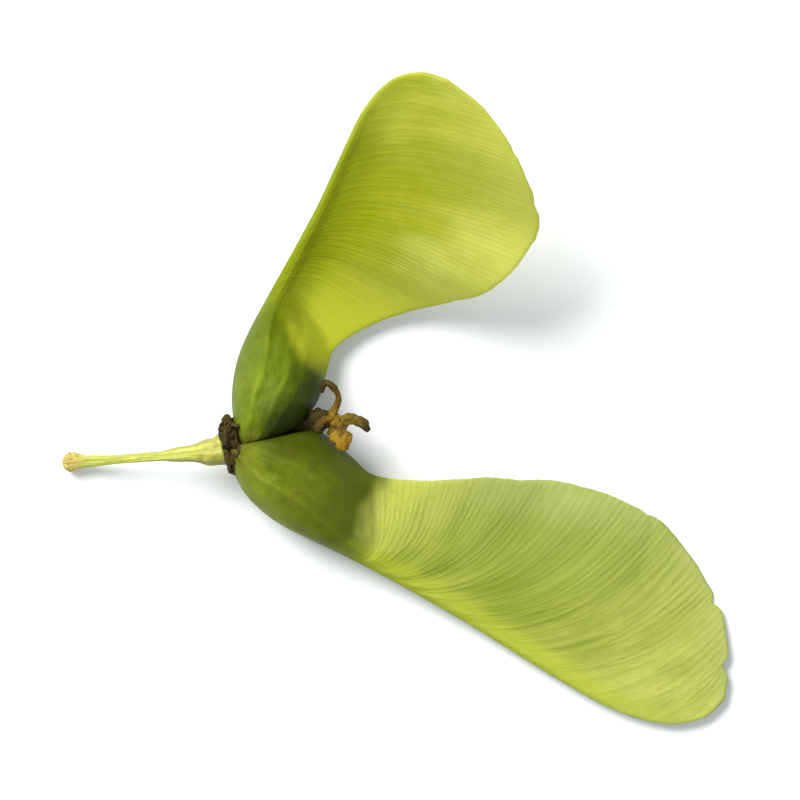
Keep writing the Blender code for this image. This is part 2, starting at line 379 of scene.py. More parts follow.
def rib_band(point, passed, inset, outside, inside, end):
    """The band along the rib that keeps its own colour, with how far it fades to each side."""
    away = OUTER.distance(point) - inset
    fade = 1.0 - 0.8 * eased((point.x - end) / 6.0)
    return bell(away, inside if away > 0.0 else outside) * fade * eased((passed - 0.45) / 0.4)


print("the membrane is", 2.0 * MEMBRANE_HALF, "mm thick between its veins")

# %% [markdown]
# The middle surface isn't quite flat either. The wing has a long shallow wave, and it lies a
# little uneven, in pleats that run with the veins. The outline is also drawn out or narrowed, so
# that the two fruits aren't copies of each other.

# %% The middle surface
WAVE_HEIGHT = 0.25
WAVE_LENGTH = 7.5


def middle_height(point, wing, place, b, across, look):
    """How high the middle surface lies, with its wave, its drop and its pleats."""
    wave = math.sin(math.tau * point.x / WAVE_LENGTH + look["wave_start"])
    lie = wing * WAVE_HEIGHT * wave * eased(point.y / 6.0) - look["drop"] * wing
    inland = eased(across * b / 1.5) * eased(across * (1.0 - b) / 0.8)
    pleat = noise.noise((place * 0.42, b * 1.1, 1.0 + look["wave_start"]))
    pleat += 0.2 * noise.noise((place * 1.0, b * 1.3, 9.0))
    return lie + look["pleats"] * pleat * wing * inland


def drawn_out(point, look):
    """The distance along the spine and beside it that a flat point gets."""
    side = point.y * mixed(look["slimness"], 1.0, eased(point.x / 8.0)) * look["hand"]
    side *= mixed(1.0, look["sides"][point.y > 0.0], eased((point.x - 4.5) / 5.5))
    return point.x * mixed(1.0, look["length"], eased(point.x / 8.0)), side


print("the wing waves every", WAVE_LENGTH, "mm")

# %% [markdown]
# A fruit is two grids, one for each face, that share their border. `create_grid` makes both, each
# vertex moves to its place, and merging by distance closes the border and the pointed ends. For
# the paint, a vertex keeps its place among the veins, its shares of the breadth and the length,
# how much rib, ridge or thin margin is in it, and how deep it lies in the notch, as the mask for
# the painted shade there.

# %% A fruit, nutlet and wing in one body
NUTLET_GRAIN = -8.0


def fruit_mesh(look):
    """One fruit round the collar. Its vertices keep their places for the paint."""
    spine = Spine(look["start"], look["bends"])
    columns = [column(k, look["nicks"], look["waviness"]) for k in range(COLUMNS + 1)]
    mesh = bmesh.new()
    grain = mesh.verts.layers.float_vector.new("grain")
    zones = mesh.verts.layers.float_vector.new("zones")
    notch_shade = mesh.verts.layers.float.new("notch_shade")
    for face_sign in (1.0, -1.0):
        made = bmesh.ops.create_grid(mesh, x_segments=COLUMNS, y_segments=ROWS, size=0.5)
        for vertex in made["verts"]:
            k = round((vertex.co.x + 0.5) * COLUMNS)
            row = round((vertex.co.y + 0.5) * ROWS)
            outer, middle, inner, passed, t = columns[k]
            b = row_share(row / ROWS, eased((passed - 0.5) / 0.5))
            point = outer * (1.0 - b) ** 2 + middle * 2.0 * b * (1.0 - b) + inner * b * b
            across = (inner - outer).length
            place = vein_place(t, b)
            half, bundle, ridges = half_thickness(
                point, passed, t, b, place, across, look["vein_half"]
            )
            if row in (0, ROWS) or k in (0, COLUMNS):
                half = 0.0
            wing = eased((point.x - 5.0) / 6.0)
            lie = middle_height(point, wing, place, b, across, look)
            x, side = drawn_out(point, look)
            lying = spine.place(x, side, lie)
            lift = max(0.0, GROUND + half - lying.z) * eased((passed - 0.8) / 0.2)
            vertex.co = spine.place(x, side, lie + half * face_sign)
            vertex.co.z += lift

            u = place if passed >= 1.0 else NUTLET_GRAIN * (1.0 - passed)
            vertex[grain] = Vector((u, b, point.x / TIP.x))
            thin = eased(1.0 - across * (1.0 - b) / 2.2) * wing
            band = rib_band(point, passed, *look["band"])
            vertex[zones] = Vector((bundle, band, ridges if passed < 1.0 else thin))
            # How deep the vertex lies in the notch, kept as the mask of the painted shade there.
            from_seam = abs(vertex.co.dot(SEAM_NORMAL))
            along_seam = vertex.co.dot(SEAM)
            vertex[notch_shade] = bell(from_seam, 1.5) * eased((along_seam - 0.2) / 2.0)
    return mesh


# %% [markdown]
# The nutlets grow pressed together, so each is flat where it meets the other, and flat again
# where it meets the withered calyx. Pushing back nearly all that lies past a plane makes such a
# face. It keeps a slight bulge, so the two faces sink into each other by a few hundredths of a
# millimetre and leave no slit between them.

# %% The seam between the nutlets
SEAM_GAP = 0.05
CALYX_FACE = -0.14
PRESS = 0.92
SOFTNESS = 0.34


def press_flat(mesh, normal, reach):
    """Moves what lies past a plane, at a reach from the collar, nearly back to it."""
    for vertex in mesh.verts:
        past = (reach - vertex.co.dot(normal)) / SOFTNESS
        if past > -1.0:
            push = past if past > 1.0 else (past + 1.0) ** 2 / 4.0
            vertex.co += normal * push * PRESS * SOFTNESS


def pressed_fruit(look, away_from_seam):
    """A fruit that is flat against the other one and against the calyx."""
    mesh = fruit_mesh(look)
    press_flat(mesh, away_from_seam, SEAM_GAP / 2.0)
    press_flat(mesh, SEAM, CALYX_FACE)
    return mesh


print("pressing takes back", PRESS, "of what lies past a plane")

# %% [markdown]
# Every piece is finished in the same way. Its mesh moves from the collar to its place and gets
# its metres, the borders are welded, and the new object stands in for its solid.

# %% Finishing a piece
WELD_METRES = 0.0000001


def finished(name, mesh, node):
    """Rests the mesh on the ground, welds it and puts its object in place of a solid."""
    for vertex in mesh.verts:
        vertex.co.z = max(vertex.co.z, GROUND)
        vertex.co = (vertex.co + COLLAR) * MM
    bmesh.ops.remove_doubles(mesh, verts=mesh.verts[:], dist=WELD_METRES)
    bmesh.ops.recalc_face_normals(mesh, faces=mesh.faces[:])
    data = bpy.data.meshes.new(name)
    mesh.to_mesh(data)
    mesh.free()
    data.shade_smooth()
    piece = bpy.data.objects.new(name, data)
    bpy.context.scene.collection.objects.link(piece)
    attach(piece, "root")
    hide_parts(node)
    print(name, "has", len(data.vertices), "vertices and", len(data.polygons), "faces")
    return piece


# %% The two fruits
lower_mesh = pressed_fruit(LOWER, -SEAM_NORMAL)
lower_fruit = finished("lower_fruit", lower_mesh, "mericarp_lower")
upper_mesh = pressed_fruit(UPPER, SEAM_NORMAL)
upper_fruit = finished("upper_fruit", upper_mesh, "mericarp_upper")

# %% [markdown]
# Stalk, calyx and style are all rods of a kind: a closed skin round a path, thick here and thin
# there. One function makes them from a grid that is wrapped round the path. Its rows become the
# turns round the rod, and its first and last columns shrink to a point, which closes the ends.


# %% A rod along a path
def rod(mesh, path, radii, turns, columns, rounding, shape, flatness=1.0, tints=((0, 0), (0, 0))):
    """Wraps a new grid round a path and rounds its ends over a length.

    The shape gives a share of the radius at each place. The tints are how dark and how green the
    rod is at its start and at its end.
    """
    line = Edge(path)
    layers = mesh.verts.layers.float_vector
    grain = layers.get("grain") or layers.new("grain")
    zones = layers.get("zones") or layers.new("zones")
    made = bmesh.ops.create_grid(mesh, x_segments=columns, y_segments=turns, size=0.5)
    for vertex in made["verts"]:
        share = 0.5 - 0.5 * math.cos(math.pi * round((vertex.co.x + 0.5) * columns) / columns)
        turn = math.tau * (round((vertex.co.y + 0.5) * turns) % turns) / turns
        length = share * line.total
        knot = 0
        while knot < len(radii) - 2 and line.knot_lengths[knot + 1] < length:
            knot += 1
        start, end = line.knot_lengths[knot], line.knot_lengths[knot + 1]
        radius = mixed(radii[knot], radii[knot + 1], eased((length - start) / (end - start)))
        inset = min(1.0, min(length, line.total - length) / rounding)
        radius *= math.sqrt(1.0 - (1.0 - inset) ** 2)
        radius *= shape(share, turn)
        ahead = line.at(length + 0.02) - line.at(length - 0.02)
        facing = ahead.to_track_quat("X", "Z")
        round_it = Vector((0.0, math.cos(turn), math.sin(turn) * flatness))
        vertex.co = line.at(length) + facing @ round_it * radius
        vertex[grain] = Vector((math.cos(turn), math.sin(turn), length))
        vertex[zones] = Vector((*(mixed(a, b, share) for a, b in zip(*tints)), share))


# %% [markdown]
# The stalk is hardly half a millimetre thick. It was torn off at its far end, which is a swollen,
# ragged knob, and it flares where it carries the fruits. Fine ridges run along it.

# %% The stalk
STALK_PATH = [
    (-7.3, -0.7, -1.68), (-6.9, -0.67, -1.64), (-6.2, -0.64, -1.52), (-4.8, -0.55, -1.1),
    (-3.2, -0.42, -0.55), (-1.9, -0.3, -0.2), (-0.75, -0.2, 0.0), (-0.2, -0.06, 0.03),
]
STALK_RADII = [0.3, 0.4, 0.25, 0.19, 0.2, 0.34, 0.6, 0.7]
TORN_SHARE = 0.11


def stalk_shape(share, turn):
    """Ridges all along, and a torn end with fibres that stand out."""
    ridges = 0.05 * math.cos(5.0 * turn + 3.0 * share) + 0.03 * math.cos(11.0 * turn)
    bumps = 0.1 * noise.noise((math.cos(turn) * 1.5, math.sin(turn) * 1.5, share * 22.0))
    torn = noise.noise((math.cos(turn) * 3.1, math.sin(turn) * 3.1, share * 60.0))
    torn *= 0.3 * eased((TORN_SHARE - share) / 0.08)
    return 1.0 + ridges + bumps + torn


stalk_mesh = bmesh.new()
rod(stalk_mesh, STALK_PATH, STALK_RADII, turns=48, columns=260, rounding=0.22, shape=stalk_shape)
stalk = finished("stalk", stalk_mesh, "pedicel")

# %% [markdown]
# Round the stalk's top sits what is left of the flower, dark and dry. A short lobed rod makes the
# ring. Fifteen flattened rods start in it and curl forwards or back, like the withered sepals that
# have shrunk to crumpled scales.

# %% The withered calyx
CALYX_PATH = [SEAM * -0.55, SEAM * -0.12, SEAM * 0.45]
CALYX_RADII = [0.66, 0.95, 1.12]
ROUND_STALK = SEAM.to_track_quat("X", "Z")
SCALES = 15
SCALE_RADII = [0.28, 0.34, 0.24, 0.06]
SCALE_GRID = {"turns": 28, "columns": 30, "rounding": 0.12, "flatness": 0.34}


def calyx_shape(share, turn):
    """A lobed, crumpled ring."""
    lobes = 0.1 * math.cos(5.0 * turn) * math.cos(2.0 * turn + 4.0 * share)
    crumple = 0.3 * noise.noise((math.cos(turn) * 2.2, math.sin(turn) * 2.2, share * 5.0))
    return 1.0 + lobes + crumple


def scale_shape(seed):
    """A crumpled scale, each a little different."""

    def shape(share, turn):
        x, y, z = math.cos(turn) * 1.7 + seed, math.sin(turn) * 1.7, share * 5.0
        creases = 0.2 * noise.noise((x * 3.0, y * 3.0, z * 3.0))
        return 1.0 + 0.65 * noise.noise((x, y, z)) + creases

    return shape


def scale_path(i):
    """The path of scale i, which leaves the ring and curls forwards or back."""
    angle = math.tau * (i + 0.3 * math.sin(5.0 * i)) / SCALES
    out = ROUND_STALK @ Vector((0.0, math.cos(angle), math.sin(angle)))
    curl = max(-0.1, 0.12 * math.sin(3.0 * i) + (0.1 if i % 2 else -0.14))
    tall = 1.14 + 0.12 * math.sin(7.0 * i)
    return [
        SEAM * 0.12 + out * 0.66, SEAM * (0.12 - curl) + out * 0.94,
        SEAM * (0.14 - 1.6 * curl) + out * tall, SEAM * (0.1 - 2.3 * curl) + out * (tall + 0.08),
    ]


calyx_mesh = bmesh.new()
rod(calyx_mesh, CALYX_PATH, CALYX_RADII, turns=90, columns=36, rounding=0.3, shape=calyx_shape)
for i in range(SCALES):
    rod(calyx_mesh, scale_path(i), SCALE_RADII, shape=scale_shape(3.0 * i), **SCALE_GRID)
calyx = finished("calyx", calyx_mesh, "calyx_ring")

# %% [markdown]
# In the notch between the nutlets stands the withered style. It was a soft green thread with two
# curled arms, and it has dried to a crooked orange-brown twist with nearly black ends. Five thin
# rods that cross at a common foot give that tangle: each has a path, its radii along it and its
# tints, which are how dark and how green it is at its start and at its end.

# %% The withered style
STYLE_THREADS = [
    (
        [(3.9, 2.3, 0.8), (4.0, 2.7, 0.95), (4.4, 2.55, 0.95), (4.6, 2.05, 0.75),
         (4.35, 1.4, 0.45), (4.45, 0.9, 0.4)],
        [0.1, 0.14, 0.13, 0.12, 0.18, 0.26], ((0.95, 0.0), (0.1, 0.0)),
    ),
    (
        [(4.25, 1.35, 0.3), (4.55, 0.85, 0.5), (4.75, 0.3, 0.62), (4.8, -0.2, 0.7)],
        [0.28, 0.38, 0.42, 0.24], ((0.15, 0.0), (0.0, 0.0)),
    ),
    (
        [(4.4, 1.15, 0.5), (4.05, 1.15, 0.75), (3.75, 0.85, 0.85), (3.9, 0.55, 0.8)],
        [0.17, 0.14, 0.16, 0.1], ((0.3, 0.0), (1.0, 0.0)),
    ),
    (
        [(4.6, 0.9, 0.45), (5.1, 1.2, 0.55), (5.6, 1.05, 0.65), (5.9, 0.65, 0.75)],
        [0.24, 0.24, 0.2, 0.14], ((0.1, 0.5), (0.9, 0.4)),
    ),
    (
        [(2.3, 0.6, -0.5), (3.0, 0.85, -0.25), (3.8, 1.15, 0.0), (4.4, 1.2, 0.25)],
        [0.3, 0.44, 0.44, 0.25], ((0.95, 1.0), (0.75, 0.8)),
    ),
]
STYLE_GRID = {"turns": 28, "columns": 90, "rounding": 0.14, "flatness": 0.75}


def style_shape(seed):
    """A shrivelled twist."""

    def shape(share, turn):
        at = Vector((math.cos(turn) * 1.6 + seed, math.sin(turn) * 1.6, share * 7.0))
        shrivelled = 0.45 * noise.noise(at) + 0.22 * noise.noise(at * 2.7)
        return 1.0 + 0.16 * math.cos(3.0 * turn + 7.0 * share) + shrivelled

    return shape


style_mesh = bmesh.new()
for seed, (path, radii, tints) in enumerate(STYLE_THREADS):
    rod(style_mesh, path, radii, shape=style_shape(2.0 * seed), tints=tints, **STYLE_GRID)
style = finished("style", style_mesh, "style_remnant")

# %% [markdown]
# ## Paint
#
# Everything is coloured by nodes. Wiring nodes one by one hides the idea behind them, so a small
# class wraps a socket and lets Python write the sums: `1 - mask * 0.5` adds the Math nodes for
# it. Whatever isn't a sum comes from one method, which takes a node's type, its settings and the
# values of its sockets.


# %% A socket that can do sums
class Wire:
    """An output socket of a material's node. Sums on it add Math nodes."""

    def __init__(self, finish, node, output=0):
        self.finish, self.node = finish, node
        self.socket = node.outputs[output]

    def out(self, output):
        """Another output of the same node."""
        return Wire(self.finish, self.node, output)

    def sum(self, operation, *values):
        settings = {"operation": operation}
        return self.finish.node("ShaderNodeMath", settings, dict(enumerate(values)))

    def __add__(self, other):
        return self.sum("ADD", self, other)

    def __sub__(self, other):
        return self.sum("SUBTRACT", self, other)

    def __rsub__(self, other):
        return self.sum("SUBTRACT", other, self)

    def __mul__(self, other):
        return self.sum("MULTIPLY", self, other)

    def __truediv__(self, other):
        return self.sum("DIVIDE", self, other)

    def __abs__(self):
        return self.sum("ABSOLUTE", self)

    __radd__ = __add__
    __rmul__ = __mul__

    def least(self, other):
        return self.sum("MINIMUM", self, other)

    def most(self, other):
        return self.sum("MAXIMUM", self, other)

    def floor(self):
        return self.sum("FLOOR", self)

    def sine(self):
        return self.sum("SINE", self)


# %% A material written in Python
class Finish:
    """A material. Its methods add nodes and give back wires."""

    def __init__(self, name):
        self.material = bpy.data.materials.new(name)
        self.material.use_nodes = True
        self.tree = self.material.node_tree
        self.tree.nodes.clear()

    def node(self, kind, settings=None, sockets=None, output=0):
        """A node of a kind, its settings first, then a value or a wire for each socket.

        It gives back a wire from one output, or nothing where the node has no output.
        """
        made = self.tree.nodes.new(kind)
        for name, value in (settings or {}).items():
            setattr(made, name, value)
        for name, value in (sockets or {}).items():
            if isinstance(value, Wire):
                self.tree.links.new(value.socket, made.inputs[name])
            else:
                made.inputs[name].default_value = value
        return Wire(self, made, output) if made.outputs else None

    def attribute(self, name):
        """A vector that the mesh keeps at its vertices, as three wires."""
        kept = self.node("ShaderNodeAttribute", {"attribute_name": name}, output="Vector")
        parts = self.node("ShaderNodeSeparateXYZ", sockets={0: kept})
        return parts, parts.out("Y"), parts.out("Z")

    def place(self):
        """The place on the object, in metres."""
        return self.node("ShaderNodeTexCoord", output="Object")

    def vector(self, x=0.0, y=0.0, z=0.0):
        return self.node("ShaderNodeCombineXYZ", sockets={0: x, 1: y, 2: z})

    def step(self, value, low, high):
        """0 at low and 1 at high, smoothly."""
        ends = {"Value": value, "From Min": low, "From Max": high}
        return self.node("ShaderNodeMapRange", {"interpolation_type": "SMOOTHSTEP"}, ends)

    def noise(self, at, scale, detail=3.0, roughness=0.55):
        sockets = {"Vector": at, "Scale": scale, "Detail": detail, "Roughness": roughness}
        return self.node("ShaderNodeTexNoise", sockets=sockets)

    def patches(self, at, scale, low, high, detail=3.0, roughness=0.55):
        """Noise in clear patches: 0 where it is low and 1 where it is high."""
        return self.step(self.noise(at, scale, detail, roughness), low, high)

    def cell_walls(self, at, width):
        """The walls between the cells of a Voronoi pattern."""
        sockets = {"Vector": at, "Scale": 1.0}
        wall = self.node("ShaderNodeTexVoronoi", {"feature": "DISTANCE_TO_EDGE"}, sockets)
        return 1.0 - self.step(wall, 0.0, width)

    def mix(self, factor, first, second):
        """A mix of two colours, each a wire or a colour of three numbers."""
        colours = [c if isinstance(c, Wire) else (*c, 1.0) for c in (first, second)]
        settings = {"data_type": "RGBA", "clamp_factor": True}
        sockets = {0: factor, 6: colours[0], 7: colours[1]}
        return self.node("ShaderNodeMix", settings, sockets, output=2)

    def bump(self, height, strength, distance):
        sockets = {"Strength": strength, "Distance": distance, "Height": height}
        return self.node("ShaderNodeBump", sockets=sockets)

    def surface(self, **sockets):
        """The shader itself, with its sockets by name."""
        named = {name.replace("_", " "): value for name, value in sockets.items()}
        return self.node("ShaderNodeBsdfPrincipled", sockets=named)

    def wear(self, shader, piece):
        """Sends a shader to the output and puts the material on a piece."""
        self.node("ShaderNodeOutputMaterial", sockets={"Surface": shader})
        piece.data.materials.clear()
        piece.data.materials.append(self.material)
        print(self.material.name, "has", len(self.tree.nodes), "nodes")


# %% [markdown]
# The skin of a fruit is one material, because the real one is one skin: green and tight over the
# nutlet, yellow and papery in the wing. The lower fruit is a duller green with clear veins, and
# the upper one, which stands up and has light behind it, is yellower. So the two share every
# pattern and differ in a table of colours and one of strengths.

# %% The colours of the two fruits
# In both tables the inner and nutlet_end colours are painted shade on the nutlet, and the ear
# colour is a painted highlight on the wing.
LOWER_COLOURS = {
    "membrane": (0.43, 0.50, 0.075), "membrane_deep": (0.27, 0.345, 0.032),
    "margin": (0.54, 0.59, 0.19), "tip": (0.68, 0.72, 0.17), "side": (0.33, 0.41, 0.085),
    "painted_ear_highlight": (0.70, 0.75, 0.14), "vein": (0.25, 0.30, 0.025), "pale_vein": (0.62, 0.66, 0.17),
    "rib": (0.44, 0.50, 0.05), "rib_base": (0.33, 0.40, 0.025), "rib_cord": (0.33, 0.40, 0.02),
    "nutlet": (0.16, 0.20, 0.005), "nutlet_deep": (0.08, 0.105, 0.001),
    "nutlet_ridge": (0.25, 0.30, 0.025), "nutlet_end": (0.075, 0.098, 0.001),
    "inner": (0.05, 0.065, 0.001), "bloom": (0.19, 0.24, 0.012), "spot": (0.14, 0.085, 0.006),
    "stain": (0.10, 0.08, 0.012), "through": (0.50, 0.56, 0.065),
}
UPPER_COLOURS = {
    "membrane": (0.45, 0.49, 0.014), "membrane_deep": (0.36, 0.41, 0.007),
    "margin": (0.74, 0.76, 0.15), "tip": (0.66, 0.69, 0.09), "side": (0.86, 0.87, 0.22),
    "painted_ear_highlight": (0.48, 0.52, 0.03), "vein": (0.36, 0.40, 0.012), "pale_vein": (0.60, 0.63, 0.08),
    "rib": (0.25, 0.31, 0.004), "rib_base": (0.10, 0.145, 0.001), "rib_cord": (0.20, 0.25, 0.004),
    "nutlet": (0.14, 0.20, 0.003), "nutlet_deep": (0.075, 0.11, 0.001),
    "nutlet_ridge": (0.22, 0.29, 0.01), "nutlet_end": (0.085, 0.12, 0.001),
    "inner": (0.016, 0.024, 0.0005), "bloom": (0.12, 0.155, 0.014), "spot": (0.09, 0.08, 0.004),
    "stain": (0.085, 0.07, 0.010), "through": (0.60, 0.62, 0.035),
}
# How strong the veins and the fine relief are, and the shares of the length and the breadth at
# which the nutlet, the painted highlight at the base of the wing and its thin side give way. The
# slant is how much earlier the nutlet ends towards the thin margin.
LOWER_LOOK = {
    "veins": 0.45, "relief": 0.35, "nutlet_end": 0.3, "slant": 0.03, "base_end": 0.43,
    "side_start": 0.4,
}
UPPER_LOOK = {
    "veins": 0.2, "relief": 0.22, "nutlet_end": 0.285, "slant": 0.2, "base_end": 0.6,
    "side_start": 0.5,
}
print(len(LOWER_COLOURS), "colours for each fruit")

# %% [markdown]
# The places kept on the mesh say what belongs where: how far a spot lies among the veins, across
# and along the fruit, and how near the rib, a ridge or the thin margin is. Broad and cloudy
# patches run over nutlet and wing alike.


# %% What the whole skin shares
class FruitSkin(Finish):
    """The skin of one fruit, with the places kept on its mesh."""

    def __init__(self, name, colours, look):
        super().__init__(name)
        self.colours, self.look = colours, look
        self.u, self.b, self.along = self.attribute("grain")
        self.cord, self.rib, self.edge = self.attribute("zones")
        self.notch_shade = self.attribute("notch_shade")[0]
        self.metres = self.place()
        self.broad = self.patches(self.vector(self.u * 0.32, self.b * 1.6, 6.0), 1.0, 0.36, 0.64)
        self.clouds = self.patches(self.metres, 380.0, 0.35, 0.65)

    def over(self, colour, name, factor):
        """A colour of the table laid over another."""
        return self.mix(factor, colour, self.colours[name])


# %% [markdown]
# Veins are worked out again from the same sums as in the mesh, so that colour and relief agree. A
# Voronoi pattern stretched along the veins gives the fine net between them.


# %% Veins and net
def painted_veins(skin):
    """1 on a vein: one of the two nearest whole numbers, with its fork to either side."""
    nearest = None
    for extra in (0.0, 1.0):
        vein = skin.u.floor() + extra
        start = FORK_START + (vein * FORK_BEAT).sine() * FORK_SWAY
        fork = skin.step((skin.b - start) / FORK_RUN, 0.0, 1.0) * FORK_WIDTH
        gap = abs(skin.u - vein - fork).least(abs(skin.u - vein + fork))
        nearest = gap if nearest is None else nearest.least(gap)
    present = skin.patches(skin.vector(skin.u * 0.8, skin.b * 2.4, 4.0), 1.0, 0.34, 0.62, 2.0)
    return (1.0 - skin.step(nearest, 0.02, 0.16)) * (0.35 + present * 0.65)


def painted_net(skin):
    """The fine net between the veins."""
    wobble = skin.noise(skin.vector(skin.u * 0.9, skin.b * 5.0, 2.0), 1.0, 2.0)
    at = skin.vector(skin.u * 2.6 + wobble * 1.6, skin.b * 10.0 + wobble)
    return skin.cell_walls(at, 0.16)


# %% [markdown]
# The wing is papery: paler towards its tip and its thin side, with a painted highlight, the ear, a
# pale patch where it leaves the nutlet and the membrane curves up into the light. Its rib keeps a
# colour of its own, with darker cords in it.


# %% The wing
def wing_paint(skin, veins):
    """The colour and the relief of the wing."""
    u, b, along, broad, clouds = skin.u, skin.b, skin.along, skin.broad, skin.clouds
    net = painted_net(skin)
    streaks = skin.patches(skin.vector(u * 1.3, b * 2.0, along * 3.0), 1.0, 0.34, 0.66, 5.0, 0.62)
    deep, pale = skin.colours["membrane_deep"], skin.colours["membrane"]
    wing = skin.mix(streaks * 0.4 + broad * 0.6, deep, pale)

    far = skin.step(along + clouds * 0.08, 0.62, 1.0)
    wing = skin.over(wing, "tip", far * (0.45 + broad * 0.4))
    aside = skin.step(b + (clouds - 0.5) * 0.12, skin.look["side_start"], 1.0)
    aside = aside * skin.step(along, 0.3, 0.55) * (1.0 - far * 0.7)
    wing = skin.over(wing, "side", aside * (0.65 + clouds * 0.3))
    wing = skin.over(wing, "margin", skin.edge * (0.4 + clouds * 0.35))
    # Painted highlight: the ear is a pale patch where the wing leaves the nutlet, standing in for
    # light on the membrane that curves up there.
    painted_ear_highlight = skin.step(b + (broad - 0.5) * 0.3, 0.2, 0.6)
    painted_ear_highlight = painted_ear_highlight * (1.0 - skin.step(along - b * 0.06, 0.22, skin.look["base_end"]))
    wing = skin.over(wing, "painted_ear_highlight", painted_ear_highlight * 0.95)

    strength = skin.look["veins"]
    threads = skin.patches(skin.vector(u * 3.1, b * 1.7, 8.0), 1.0, 0.5, 0.68)
    wing = skin.over(wing, "pale_vein", threads * strength * 0.5)
    drawn = (veins * 0.5 + net * 0.3) * ((1.0 - skin.rib) * strength)
    wing = skin.over(wing, "vein", drawn)

    cords = skin.patches(skin.vector(b * 90.0, along * 1.5, 0.5), 1.0, 0.4, 0.62, 2.0)
    base = skin.colours["rib_base"]
    rib_colour = skin.mix(skin.step(along, 0.26, 0.55), base, skin.colours["rib"])
    rib_colour = skin.over(rib_colour, "rib_cord", cords * (skin.cord * 0.5 + 0.1))
    on_rib = skin.step(skin.rib + (streaks - 0.5) * 0.15, 0.02, 1.0) * 0.85
    relief = veins * 0.35 + net * 0.25 + streaks * 0.3 + threads * 0.2
    return skin.mix(on_rib, wing, rib_colour), relief


# %% [markdown]
# The nutlet is plump and green, with paler ridges, a greyer bloom on its outer flank and a few
# brown spots. Painted shade darkens it towards the wing and on its inner side, and most of all
# in the notch, where little light reaches it. At the collar it is stained brown.


# %% The nutlet
def nutlet_paint(skin, mottle, spots):
    """The colour and the relief of the nutlet."""
    u, b, along, clouds = skin.u, skin.b, skin.along, skin.clouds
    stripes = skin.patches(skin.vector(b * 9.0, u * 0.6, clouds * 0.6), 1.0, 0.36, 0.68, 4.0)
    cells = skin.cell_walls(skin.vector(b * 11.0 + stripes * 0.8, u * 1.3 + mottle * 0.5), 0.12)
    deep, pale = skin.colours["nutlet_deep"], skin.colours["nutlet"]
    nut = skin.mix(stripes * 0.35 + clouds * 0.35 + mottle * 0.3, deep, pale)

    outside = 1.0 - skin.step(b + (clouds - 0.5) * 0.2, 0.08, 0.36)
    nut = skin.over(nut, "bloom", outside * 0.55)
    raised = skin.step(skin.edge + (mottle - 0.5) * 0.3, 0.2, 1.0)
    nut = skin.over(nut, "nutlet_ridge", raised * (0.4 + stripes * 0.35))
    nut = skin.over(nut, "nutlet_ridge", cells * 0.16)
    nut = skin.over(nut, "spot", spots * 0.5)
    # Painted shade: the nutlet_end colour darkens the nutlet towards the wing, standing in for the
    # shade that falls there.
    end = skin.step(along + (clouds - 0.5) * 0.06, 0.13, 0.27)
    nut = skin.over(nut, "nutlet_end", end * 0.8)
    # Painted shade: the inner colour darkens the side of the nutlet that faces the notch, and the
    # notch itself most, where little light reaches.
    inside = skin.step(b + (mottle - 0.5) * 0.12, 0.52, 0.9)
    inside = inside * (1.0 - skin.step(along, 0.16, 0.26) * 0.7)
    nut = skin.over(nut, "inner", inside * 0.8)
    nut = skin.over(nut, "inner", skin.step(skin.notch_shade, 0.15, 1.0) * 0.85)
    stain = 1.0 - skin.step(along + (mottle - 0.5) * 0.02, 0.012, 0.055)
    nut = skin.over(nut, "stain", stain * 0.7)
    return nut, stripes * 0.2 + mottle * 0.45 + cells * 0.35


# %% [markdown]
# Nutlet and wing meet in a soft, slightly ragged border, softest near the rib. The thin wing lets
# some light through. That is a share of a Translucent shader, less on the rib and the veins.

# %% The skin of each fruit
GRAIN_DEPTH = 0.00006
SKIN_GLOSS = 0.12


def paint_fruit(name, colours, look, piece):
    """Puts the whole skin together on one fruit."""
    skin = FruitSkin(name, colours, look)
    mottle = skin.patches(skin.metres, 1100.0, 0.38, 0.64, 5.0, 0.6)
    spots = skin.patches(skin.metres, 1700.0, 0.6, 0.72)
    veins = painted_veins(skin)
    wing, wing_relief = wing_paint(skin, veins)
    nutlet, nutlet_relief = nutlet_paint(skin, mottle, spots)

    curve = (skin.b - 0.3).most(0.0).least(0.4) * look["slant"]
    ragged = (skin.broad - 0.5) * 0.012 + (mottle - 0.5) * 0.006
    spread = 0.028 + (1.0 - skin.step(skin.b, 0.05, 0.4)) * 0.026
    end = look["nutlet_end"]
    border = skin.step(skin.along + curve + ragged, end - spread, end + spread)
    colour = skin.mix(border, nutlet, wing)

    relief = wing_relief * border + nutlet_relief * (1.0 - border)
    fine = skin.noise(skin.metres, 6500.0, 2.0)
    bump = skin.bump(relief + fine * 0.25, look["relief"], GRAIN_DEPTH)
    rough = 0.48 + border * 0.12 + mottle * 0.12 - spots * 0.05
    surface = skin.surface(
        Base_Color=colour, Roughness=rough, Normal=bump, Specular_IOR_Level=SKIN_GLOSS
    )
    sockets = {"Color": (*colours["through"], 1.0)}
    through = skin.node("ShaderNodeBsdfTranslucent", sockets=sockets)
    lit = border * (0.36 - skin.rib * 0.16 - veins * 0.04)
    both = skin.node("ShaderNodeMixShader", sockets={0: lit, 1: surface, 2: through})
    skin.wear(both, piece)


paint_fruit("lower_skin", LOWER_COLOURS, LOWER_LOOK, lower_fruit)
paint_fruit("upper_skin", UPPER_COLOURS, UPPER_LOOK, upper_fruit)

# %% [markdown]
# The stalk is a dull yellow-green, browner at the collar and at its torn end, where the fibres
# have dried, and its flare has painted shade on its sideways flanks. Its pattern follows the turn
# round it and the length along it that its mesh keeps.

# %% Skin of the stalk
bark = Finish("stalk_skin")
turn_x, turn_y, length = bark.attribute("grain")
fibres = bark.patches(
    bark.vector(turn_x * 2.5, turn_y * 2.5, length * 0.5), 1.0, 0.35, 0.65, 4.0
)
speckle = bark.patches(bark.place(), 3000.0, 0.5, 0.7)
colour = bark.mix(fibres, (0.36, 0.40, 0.035), (0.60, 0.63, 0.12))
